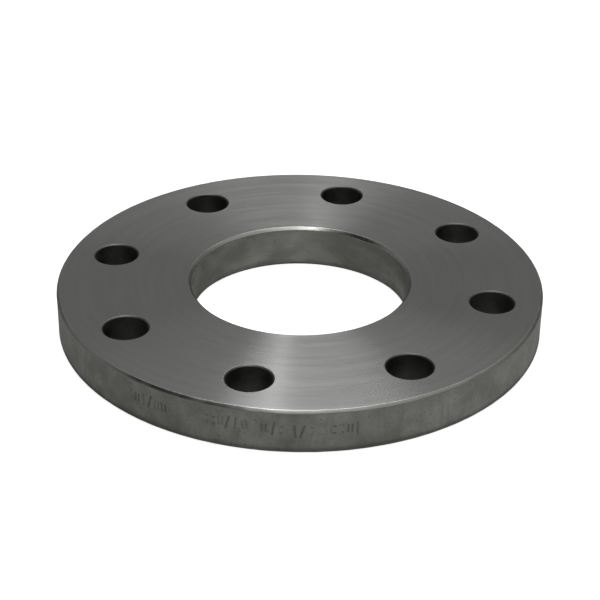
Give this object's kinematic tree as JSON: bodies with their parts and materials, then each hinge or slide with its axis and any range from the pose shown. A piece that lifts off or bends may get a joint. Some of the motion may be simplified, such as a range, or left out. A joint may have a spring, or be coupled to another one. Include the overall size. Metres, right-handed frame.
{
  "type": "slip-on plate flange",
  "caption": "Flat round steel plate flange with a large through bore and a ring of bolt holes. It slips over a pipe end, is welded to it and bolts to a matching flange.",
  "frame": {"origin": "centre of the bore on the underside (back face)", "axes": "+Z along the bore axis, from the back face towards the gasket face; +X and +Y each pass midway between two bolt holes"},
  "size_m": [0.2, 0.2, 0.0185],
  "materials": {
    "steel": "turned faces and bore, drilled holes, darker scaled rim, oiled"
  },
  "bodies": {
    "root": {"flange_plate": "steel"}
  },
  "joints": []
}
